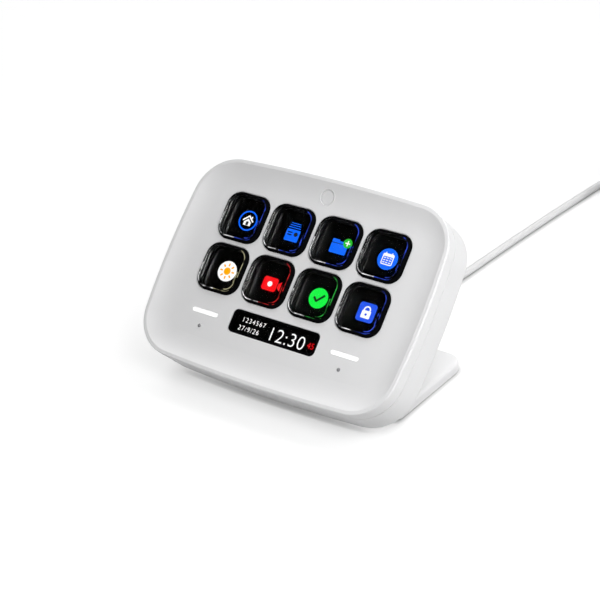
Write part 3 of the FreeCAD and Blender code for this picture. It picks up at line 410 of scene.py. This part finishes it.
# Painted shade: the border's black, with no gloss at all, stands in for the darkness that the clear rounded
# edge of a cap shows.
painted_shade_black = moulded("painted_shade_black", (0.004, 0.004, 0.0045), (0.003, 0.003, 0.0035), 0.2, 0.0006, 0.0)
painted_shade_black.node_tree.nodes["Principled BSDF"].inputs["Specular IOR Level"].default_value = 0.0

cap_half = 0.00885
cap_corner = 0.0047
cap_crown = 0.09
cap_proud = 0.0015
cap_round = 0.0009
side_steps = 4
corner_steps = 12


def key_middle(number):
    """Where a key's middle lies on the face. The keys are counted from 1, row by row."""
    column = (number - 1) % key_columns
    row = (number - 1) // key_columns
    x = (column - (key_columns - 1) / 2) * key_pitch
    y = array_rise + ((key_rows - 1) / 2 - row) * key_pitch
    return x, y


def cap_top(place):
    """Height of a cap's crowned top over the face."""
    return cap_proud - cap_crown + math.sqrt(cap_crown ** 2 - place.length_squared)


def cap_edge(half, corner):
    """Points round the edge of a key cap from above, each with its outward direction."""
    found = []
    for quarter in range(4):
        turn = Matrix.Rotation(quarter * math.pi / 2, 2)
        for step in range(side_steps):
            share = step / side_steps
            found.append((turn @ Vector((half, (half - corner) * (2 * share - 1))), turn @ Vector((1, 0))))
        for step in range(corner_steps + 1):
            angle = step / corner_steps * math.pi / 2
            outward = turn @ Vector((math.cos(angle), math.sin(angle)))
            middle = turn @ Vector((half - corner, half - corner))
            found.append((middle + outward * corner, outward))
    return found


def on_key(name, mesh, number, slot, *materials):
    """Lays a mesh drawn about the middle of a key in its place, as a piece that moves with the key."""
    for face in mesh.faces:
        face.smooth = True
    piece = laid(name, mesh, head @ Matrix.Translation((*key_middle(number), 0)), *materials)
    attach(piece, "key_%d" % number)


def join_round(mesh, loops):
    """Skins the closed loops of an edge that runs all the way round."""
    for here, after in zip(loops, loops[1:] + loops[:1]):
        for n in range(len(here)):
            mesh.faces.new((here[n], after[n], after[n - 1], here[n - 1]))
    bmesh.ops.recalc_face_normals(mesh, faces=mesh.faces[:])


border_inner = 0.00094
border_outer = 0.001
border_foot = -0.00225
border_angles = [math.radians(angle) for angle in range(0, 91, 15)]


def border(number):
    """The thin black band of painted shade, with no gloss at all, that hugs the rounded edge of one key cap.
    """
    mesh = bmesh.new()
    loops = []
    for place, outward in cap_edge(cap_half, cap_corner):
        level = cap_top(place) - cap_round
        section = [(border_outer - cap_round, border_foot)]
        for radius, angles in ((border_outer, border_angles), (border_inner, reversed(border_angles))):
            section += [(radius * math.cos(a) - cap_round, level + radius * math.sin(a)) for a in angles]
        section += [(border_inner - cap_round, border_foot)]
        loops.append([mesh.verts.new((*(place + outward * out), height)) for out, height in section])
    join_round(mesh, loops)
    on_key("key_border_%d" % number, mesh, number, "black_plastic", painted_shade_black)


glint_scale = 420
glint_dark_below = 0.40
glint_full_above = 0.62


def painted_glint(name, colour, strength):
    """A painted glint: a broken line of glowing light that stands in for light reflected in the clear edge
    of a cap.
    """
    material = bpy.data.materials.new(name)
    material.use_nodes = True
    tree = material.node_tree
    surface = tree.nodes["Principled BSDF"]
    surface.inputs["Base Color"].default_value = (0.004, 0.004, 0.004, 1)
    surface.inputs["Roughness"].default_value = 0.3
    surface.inputs["Specular IOR Level"].default_value = 0.2
    surface.inputs["Emission Color"].default_value = (*colour, 1)
    place = tree.nodes.new("ShaderNodeTexCoord")
    broken = tree.nodes.new("ShaderNodeTexNoise")
    broken.inputs["Scale"].default_value = glint_scale
    broken.inputs["Detail"].default_value = 3
    spread = tree.nodes.new("ShaderNodeMapRange")
    spread.inputs["From Min"].default_value = glint_dark_below
    spread.inputs["From Max"].default_value = glint_full_above
    spread.inputs["To Max"].default_value = strength
    tree.links.new(place.outputs["Object"], broken.inputs["Vector"])
    tree.links.new(broken.outputs["Fac"], spread.inputs["Value"])
    tree.links.new(spread.outputs["Result"], surface.inputs["Emission Strength"])
    return material


# Painted glints: these ribbons glow by their own light in place of reflections of the lamps and of the
# pictures.
painted_glint_white = painted_glint("painted_glint_white", (0.9, 0.9, 0.92), 1.2)
painted_glint_blue = painted_glint("painted_glint_blue", (0.03, 0.08, 0.75), 1.0)
painted_glint_red = painted_glint("painted_glint_red", (0.7, 0.02, 0.02), 1.0)
painted_glint_green = painted_glint("painted_glint_green", (0.03, 0.5, 0.06), 1.0)
painted_glint_sand = painted_glint("painted_glint_sand", (0.45, 0.42, 0.25), 1.0)
ribbon_lift = 0.00012

# Each ribbon of painted light has its inset from the cap's side, its width, the first and last point of the
# cap's edge that it follows, and 0 for the picture's light or 1 for white.
ribbons = [
    (0.0008, 0.0003, 1, 14, 0),
    (0.0015, 0.0004, 0, 2, 0),
    (0.0014, 0.0003, 55, 67, 0),
    (0.0007, 0.0002, 53, 60, 0),
    (0.0006, 0.0003, 36, 53, 1),
]


def glints(number, colour):
    """Painted reflections: the picture's light in the right and lower edge of a cap, and white glints low at
    its left, drawn as glowing ribbons.
    """
    mesh = bmesh.new()
    for inset, width, first, last, light in ribbons:
        line = cap_edge(cap_half - inset, cap_corner - inset)
        pairs = []
        for place, outward in line[first : last + 1]:
            spots = (place, place - outward * width)
            pairs.append([mesh.verts.new((*spot, cap_top(spot) + ribbon_lift)) for spot in spots])
        for here, after in zip(pairs, pairs[1:]):
            face = mesh.faces.new((here[0], here[1], after[1], after[0]))
            face.material_index = light
    on_key("key_glints_%d" % number, mesh, number, "clear_plastic", colour, painted_glint_white)


painted_glint_colours = [painted_glint_blue] * 4 + [painted_glint_sand, painted_glint_red, painted_glint_green, painted_glint_blue]
for number, colour in enumerate(painted_glint_colours, 1):
    border(number)
    glints(number, colour)
membrane_black = moulded("membrane_black", (0.012, 0.012, 0.013), (0.009, 0.009, 0.01), 0.6, 0.0004, 0.00001)
dress(membrane_black, "key_membrane", "panel_carrier", "info_cushion", "flex_sockets", "board_chips")


# Displays: dark glossy panels behind the keys and behind the info window, with a white
# backlight and an amber strip of film. The pictures and digits on them are lit.
panel_dark = moulded("panel_dark", (0.004, 0.004, 0.0045), (0.003, 0.003, 0.0035), 0.25, 0.0005, 0.0)
dress(panel_dark, "main_display", "info_display")
film_amber = moulded("film_amber", (0.42, 0.20, 0.04), (0.36, 0.17, 0.035), 0.35, 0.0005, 0.000002)
dress(film_amber, "display_flex")
dress(membrane_black, "contact_sheet")
backlight_white = moulded("backlight_white", (0.75, 0.75, 0.75), (0.7, 0.7, 0.7), 0.5, 0.0005, 0.000004)
dress(backlight_white, "backlight")


def lit(name, colour, strength):
    """A lit spot of a display."""
    material = bpy.data.materials.new(name)
    material.use_nodes = True
    surface = material.node_tree.nodes["Principled BSDF"]
    surface.inputs["Base Color"].default_value = (0.01, 0.01, 0.01, 1)
    surface.inputs["Roughness"].default_value = 0.5
    surface.inputs["Emission Color"].default_value = (*colour, 1)
    surface.inputs["Emission Strength"].default_value = strength
    return material


lit_white = lit("lit_white", (1, 1, 1), 1.1)
lit_blue = lit("lit_blue", (0.002, 0.14, 1), 1.1)
lit_deep_blue = lit("lit_deep_blue", (0.014, 0.09, 0.82), 1.1)
lit_green = lit("lit_green", (0.005, 0.88, 0.055), 1.1)
lit_leaf = lit("lit_leaf", (0.014, 0.5, 0.02), 1.1)
lit_red = lit("lit_red", (0.92, 0.001, 0.004), 1.1)
lit_orange = lit("lit_orange", (1, 0.42, 0.0), 1.1)
unlit = lit("unlit", (0, 0, 0), 0)

picture_lights = [lit_white, lit_blue, unlit, lit_green, lit_orange, lit_red, lit_deep_blue, lit_leaf]
WHITE, BLUE, DARK, GREEN, ORANGE, RED, DEEP_BLUE, LEAF = range(len(picture_lights))
display_level = -0.00478
layer_step = 0.00001
per_metre = 1000
disc_points = 48
ring_points = 64
corner_cuts = 6


def settle(mesh, verts, x, y, layer, light):
    """Moves new points to their place in a picture, in millimetres, and lights their faces."""
    bmesh.ops.translate(mesh, verts=verts, vec=(x / per_metre, y / per_metre, layer * layer_step))
    for face in {face for vert in verts for face in vert.link_faces}:
        face.material_index = light


def disc(mesh, light, radius, x, y, layer):
    """A round spot."""
    made = bmesh.ops.create_circle(mesh, cap_ends=True, segments=disc_points, radius=radius / per_metre)
    settle(mesh, made["verts"], x, y, layer, light)


def ring(mesh, light, outer, inner, x, y, layer):
    """A round band."""
    big = bmesh.ops.create_circle(mesh, segments=ring_points, radius=outer / per_metre)["verts"]
    small = bmesh.ops.create_circle(mesh, segments=ring_points, radius=inner / per_metre)["verts"]
    edges = list({edge for vert in big + small for edge in vert.link_edges})
    bmesh.ops.bridge_loops(mesh, edges=edges)
    settle(mesh, big + small, x, y, layer, light)


def bar(mesh, light, width, height, corner, x, y, layer, turn=0.0):
    """A rectangle with round corners."""
    verts = bmesh.ops.create_grid(mesh, x_segments=1, y_segments=1, size=0.5 / per_metre)["verts"]
    bmesh.ops.scale(mesh, verts=verts, vec=(width, height, 1))
    if corner:
        made = bmesh.ops.bevel(
            mesh,
            geom=verts,
            offset=corner / per_metre,
            segments=corner_cuts,
            profile=0.5,
            affect="VERTICES",
            material=-1,
        )
        verts = made["verts"]
    bmesh.ops.rotate(mesh, verts=verts, matrix=Matrix.Rotation(math.radians(turn), 3, "Z"))
    settle(mesh, verts, x, y, layer, light)


def shape(mesh, light, layer, points):
    """A flat shape with the given corners, in millimetres."""
    verts = [mesh.verts.new((x / per_metre, y / per_metre, 0)) for x, y in points]
    mesh.faces.new(verts)
    settle(mesh, verts, 0, 0, layer, light)


def picture(name, draw, number):
    """A flat lit picture under a key, drawn about its own middle and then laid in its place."""
    mesh = bmesh.new()
    draw(mesh)
    bmesh.ops.recalc_face_normals(mesh, faces=mesh.faces[:])
    for face in mesh.faces:
        if face.normal.z < 0:
            face.normal_flip()
    place = head @ Matrix.Translation((*key_middle(number), display_level))
    piece = laid(name, mesh, place, *picture_lights)
    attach(piece, "housing")


def draw_house(mesh):
    ring(mesh, BLUE, 3.7, 3.15, 0, 0, 1)
    roof = [(-2.25, 0.1), (-1.9, -0.3), (0, 1.4), (1.9, -0.3), (2.25, 0.1), (0, 2.15)]
    shape(mesh, WHITE, 1, roof)
    bar(mesh, WHITE, 0.5, 0.9, 0.0, 1.25, 1.3, 1)
    walls = [(-1.45, -1.75), (1.45, -1.75), (1.45, -0.5), (0, 0.8), (-1.45, -0.5)]
    shape(mesh, WHITE, 1, walls)
    bar(mesh, DARK, 1.0, 1.35, 0.2, 0, -0.95, 2)


def draw_archive(mesh):
    bar(mesh, BLUE, 5.4, 4.3, 0.4, 0, -0.85, 1)
    bar(mesh, BLUE, 4.7, 0.32, 0.1, 0, 1.95, 1)
    bar(mesh, BLUE, 4.3, 0.3, 0.1, 0, 2.75, 1)
    bar(mesh, BLUE, 3.8, 0.28, 0.1, 0, 3.5, 1)
    bar(mesh, DARK, 1.9, 0.42, 0.1, -1.2, 0.15, 2)
    bar(mesh, DARK, 1.9, 0.42, 0.1, -1.2, -0.75, 2)
    disc(mesh, DARK, 0.75, 1.25, -0.3, 2)


def draw_folder(mesh):
    bar(mesh, BLUE, 2.8, 1.5, 0.3, -1.9, 1.4, 1)
    bar(mesh, BLUE, 6.4, 4.5, 0.4, -0.1, -0.6, 1)
    bar(mesh, DARK, 4.3, 0.26, 0.0, -1.1, 0.75, 2)
    disc(mesh, LEAF, 1.7, 2.7, 1.5, 3)
    bar(mesh, WHITE, 1.9, 0.4, 0.0, 2.7, 1.5, 4)
    bar(mesh, WHITE, 0.4, 1.9, 0.0, 2.7, 1.5, 5)


def draw_calendar(mesh):
    disc(mesh, BLUE, 3.75, 0, 0, 1)
    bar(mesh, WHITE, 4.3, 4.0, 0.6, 0, -0.1, 2)
    bar(mesh, BLUE, 3.6, 2.6, 0.3, 0, -0.45, 3)
    for row in range(3):
        for column in (-1, 0, 1):
            bar(mesh, WHITE, 0.75, 0.32, 0.0, column * 1.1, 0.35 - row * 0.8, 4)
    for side in (-1, 1):
        bar(mesh, WHITE, 0.4, 0.9, 0.15, side * 1.15, 1.9, 4)


def draw_sun(mesh):
    disc(mesh, WHITE, 3.7, 0, 0, 1)
    disc(mesh, ORANGE, 1.35, 0, 0, 2)
    far = 2.35
    for angle in range(0, 360, 45):
        x = far * math.cos(math.radians(angle))
        y = far * math.sin(math.radians(angle))
        bar(mesh, ORANGE, 1.1, 0.6, 0.2, x, y, 2, turn=angle)


def draw_camera(mesh):
    bar(mesh, RED, 5.9, 4.9, 1.0, -0.9, 0, 1)
    shape(mesh, RED, 1, [(2.3, -0.7), (3.5, -1.7), (3.5, 1.7), (2.3, 0.7)])
    disc(mesh, WHITE, 0.95, -0.9, 0, 2)


def draw_check(mesh):
    disc(mesh, GREEN, 3.6, 0, 0, 1)
    bar(mesh, DARK, 2.0, 0.75, 0.2, -1.1, -0.55, 2, turn=-45)
    bar(mesh, DARK, 3.9, 0.75, 0.2, 0.75, 0.1, 2, turn=45)


def draw_padlock(mesh):
    bar(mesh, DEEP_BLUE, 6.6, 6.6, 1.1, 0, 0, 1)
    bar(mesh, WHITE, 3.4, 2.7, 0.35, 0, -0.75, 2)
    ring(mesh, WHITE, 1.35, 0.85, 0, 0.85, 2)
    disc(mesh, DEEP_BLUE, 0.42, 0, -0.75, 3)


drawings = [
    ("house", draw_house),
    ("archive", draw_archive),
    ("folder", draw_folder),
    ("calendar", draw_calendar),
    ("sun", draw_sun),
    ("camera", draw_camera),
    ("check", draw_check),
    ("padlock", draw_padlock),
]
for number, (name, draw) in enumerate(drawings, 1):
    picture("picture_" + name, draw, number)


# Info window: a glossy clear pane below the keys, with a black edge of painted shade round its rim and
# sides.
# Behind it the small display shows days, date and time in white, and seconds in red.
info_y = -0.01845
info_level = -0.00288
window_clear = clear("window_clear", (1.0, 1.0, 1.0), 0.02)
dress(window_clear, "info_window")


def digits(name, text, size, x, y, material, narrow, thinner, apart):
    """Lit digits on the small display, narrower, thinner and wider apart than the plain ones."""
    curve = bpy.data.curves.new(name, "FONT")
    curve.body = text
    curve.size = size
    curve.offset = -thinner
    curve.space_character = apart
    curve.align_x = "CENTER"
    curve.align_y = "CENTER"
    maker = bpy.data.objects.new(name + "_maker", curve)
    bpy.context.scene.collection.objects.link(maker)
    bpy.context.view_layer.update()
    data = bpy.data.meshes.new_from_object(maker)
    bpy.data.objects.remove(maker)
    data.name = name
    place = head @ Matrix.Translation((x, info_y + y, info_level))
    data.transform(place @ Matrix.Diagonal((narrow, 1, 1, 1)))
    data.materials.clear()
    data.materials.append(material)
    piece = bpy.data.objects.new(name, data)
    bpy.context.scene.collection.objects.link(piece)
    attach(piece, "housing")


lit_bright = lit("lit_bright", (1, 1, 1), 1.6)

# Each group of digits has its text, its size, its place from the window's middle and its light, and
# then how narrow, how much thinner and how far apart its digits are.
shown_digits = [
    ("clock_digits", "12:30", 0.0070, 0.0047, -0.0008, lit_white, 0.98, 0.00008, 1.05),
    ("date_digits", "27/9/26", 0.0026, -0.0110, -0.0017, lit_bright, 0.95, 0.00004, 1.2),
    ("week_digits", "1234567", 0.0025, -0.0100, 0.0014, lit_bright, 0.95, 0.00004, 1.25),
    ("second_digits", "45", 0.0031, 0.0150, -0.0006, lit_red, 0.95, 0.00003, 1.0),
]
for group in shown_digits:
    digits(*group)

# The black edge is a thin closed band of painted shade, without gloss, that lies on the pane's rim and hangs
# down its sides.
window_half_width = 0.01815
window_half_height = 0.00415
window_corner = 0.0017
window_corner_steps = 8
edge_top = -0.00007
edge_foot = -0.002
edge_thickness = 0.00002
edge_out = 0.00005
edge_gap = 0.00002
edge_width = 0.0005
edge_section = [
    (-edge_width, edge_top),
    (edge_out, edge_top),
    (edge_out, edge_foot),
    (edge_gap, edge_foot),
    (edge_gap, edge_top - edge_thickness),
    (-edge_width, edge_top - edge_thickness),
]
window_edge = bmesh.new()
edge_loops = []
for quarter, (side_x, side_y) in enumerate([(1, 1), (-1, 1), (-1, -1), (1, -1)]):
    middle_x = side_x * (window_half_width - window_corner)
    middle_y = side_y * (window_half_height - window_corner)
    for step in range(window_corner_steps + 1):
        angle = (quarter + step / window_corner_steps) * math.pi / 2
        spots = []
        for out, height in edge_section:
            reach = window_corner + out
            spots.append((middle_x + math.cos(angle) * reach, middle_y + math.sin(angle) * reach, height))
        edge_loops.append([window_edge.verts.new(spot) for spot in spots])
join_round(window_edge, edge_loops)
window_place = head @ Matrix.Translation((0, info_y, 0))
window_border = laid("window_border", window_edge, window_place, painted_shade_black)
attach(window_border, "housing")


# Light bars: milky guides that fill the slots beside the info window and glow softly. Small
# green boards with lamps sit behind them, and the main board lies behind the displays.
bar_milky = moulded("bar_milky", (0.85, 0.85, 0.85), (0.85, 0.85, 0.85), 0.4, 0.0003, 0.000004)
bar_surface = bar_milky.node_tree.nodes["Principled BSDF"]
bar_surface.inputs["Emission Color"].default_value = (1, 1, 1, 1)
bar_surface.inputs["Emission Strength"].default_value = 0.5
dress(bar_milky, "light_guide_left", "light_guide_right", "status_leds")
board_green = moulded("board_green", (0.010, 0.085, 0.03), (0.008, 0.07, 0.025), 0.35, 0.0006, 0.00001)
dress(board_green, "touch_board_left", "touch_board_right", "main_board")


# Studio: a pale floor under a dim sky and soft lamps. The floor shows white to the camera and keeps the
# pad's shadow. Near the pad its colour and glow are darkened by ambient occlusion, a painted contact shade
# that is darkest where the pad nearly touches it.
floor_size = 6.0
floor_glow = 0.55
floor_open_grey = 0.55
painted_contact_grey = 0.35
contact_reach = 0.0025
contact_samples = 16
floor_pale = bpy.data.materials.new("floor_pale")
floor_pale.use_nodes = True
tree = floor_pale.node_tree
tree.nodes.remove(tree.nodes["Principled BSDF"])
output = tree.nodes["Material Output"]
matt = tree.nodes.new("ShaderNodeBsdfDiffuse")
glow = tree.nodes.new("ShaderNodeEmission")
rays = tree.nodes.new("ShaderNodeLightPath")
seen = tree.nodes.new("ShaderNodeMath")
seen.operation = "ADD"
seen_too = tree.nodes.new("ShaderNodeMath")
seen_too.operation = "ADD"
level = tree.nodes.new("ShaderNodeMath")
level.operation = "MULTIPLY"
level.inputs[1].default_value = floor_glow
both = tree.nodes.new("ShaderNodeAddShader")
# Painted contact shade: ambient occlusion darkens the floor's colour and its glow within a few millimetres
# of the pad.
near = tree.nodes.new("ShaderNodeAmbientOcclusion")
near.samples = contact_samples
near.inputs["Distance"].default_value = contact_reach
open_floor = tree.nodes.new("ShaderNodeMath")
open_floor.operation = "MULTIPLY"
painted_contact_shade = tree.nodes.new("ShaderNodeMix")
painted_contact_shade.data_type = "RGBA"
painted_contact_shade.inputs["A"].default_value = (painted_contact_grey, painted_contact_grey, painted_contact_grey, 1)
painted_contact_shade.inputs["B"].default_value = (floor_open_grey, floor_open_grey, floor_open_grey, 1)
tree.links.new(near.outputs["AO"], painted_contact_shade.inputs["Factor"])
tree.links.new(painted_contact_shade.outputs["Result"], matt.inputs["Color"])
tree.links.new(rays.outputs["Is Camera Ray"], seen.inputs[0])
tree.links.new(rays.outputs["Is Glossy Ray"], seen.inputs[1])
tree.links.new(seen.outputs[0], seen_too.inputs[0])
tree.links.new(rays.outputs["Is Transmission Ray"], seen_too.inputs[1])
tree.links.new(seen_too.outputs[0], level.inputs[0])
tree.links.new(level.outputs[0], open_floor.inputs[0])
tree.links.new(near.outputs["AO"], open_floor.inputs[1])
tree.links.new(open_floor.outputs[0], glow.inputs["Strength"])
tree.links.new(matt.outputs[0], both.inputs[0])
tree.links.new(glow.outputs[0], both.inputs[1])
tree.links.new(both.outputs[0], output.inputs["Surface"])
floor_mesh = bmesh.new()
bmesh.ops.create_grid(floor_mesh, x_segments=1, y_segments=1, size=floor_size / 2)
studio_floor = laid("studio_floor", floor_mesh, Matrix.Identity(4), floor_pale)

# The sky is a dim white but for a dark card where the keys mirror it, which keeps their tops black.
card_direction = Vector((-0.52, -0.50, 0.68)).normalized()
card_outer = 0.62
card_inner = 0.80
sky_level = 0.1
sky = bpy.data.worlds.new("sky")
bpy.context.scene.world = sky
sky.use_nodes = True
sky_tree = sky.node_tree
background = sky_tree.nodes["Background"]
background.inputs["Color"].default_value = (1, 1, 1, 1)
toward = sky_tree.nodes.new("ShaderNodeTexCoord")
facing = sky_tree.nodes.new("ShaderNodeVectorMath")
facing.operation = "DOT_PRODUCT"
facing.inputs[1].default_value = card_direction
card = sky_tree.nodes.new("ShaderNodeMapRange")
card.interpolation_type = "SMOOTHSTEP"
card.inputs["From Min"].default_value = card_outer
card.inputs["From Max"].default_value = card_inner
card.inputs["To Min"].default_value = sky_level
card.inputs["To Max"].default_value = 0.0
sky_tree.links.new(toward.outputs["Generated"], facing.inputs[0])
sky_tree.links.new(facing.outputs["Value"], card.inputs["Value"])
sky_tree.links.new(card.outputs["Result"], background.inputs["Strength"])


def lamp(name, place, target, width, height, power):
    """A soft rectangular lamp that faces a point."""
    data = bpy.data.lights.new(name, "AREA")
    data.shape = "RECTANGLE"
    data.size = width
    data.size_y = height
    data.energy = power
    made = bpy.data.objects.new(name, data)
    bpy.context.scene.collection.objects.link(made)
    away = Vector(place) - Vector(target)
    made.matrix_world = Matrix.Translation(place) @ away.to_track_quat("Z", "Y").to_matrix().to_4x4()


lamp_target = (0, 0, 0.03)
lamp("lamp_front", (0.5, -0.6, 0.9), lamp_target, 1.0, 1.0, 6.0)
lamp("lamp_right", (0.95, 0.6, 0.45), lamp_target, 0.6, 0.6, 4.5)
lamp("lamp_left_back", (-0.6, 0.3, 0.8), lamp_target, 0.6, 0.6, 3.6)
lamp("lamp_back", (-0.2, 0.95, 0.7), lamp_target, 0.6, 0.6, 2.0)
lamp("lamp_near_right", (0.17, -0.12, 0.20), lamp_target, 0.12, 0.12, 0.24)
lamp("lamp_near_top", (0.10, 0.12, 0.32), lamp_target, 0.15, 0.15, 0.2)
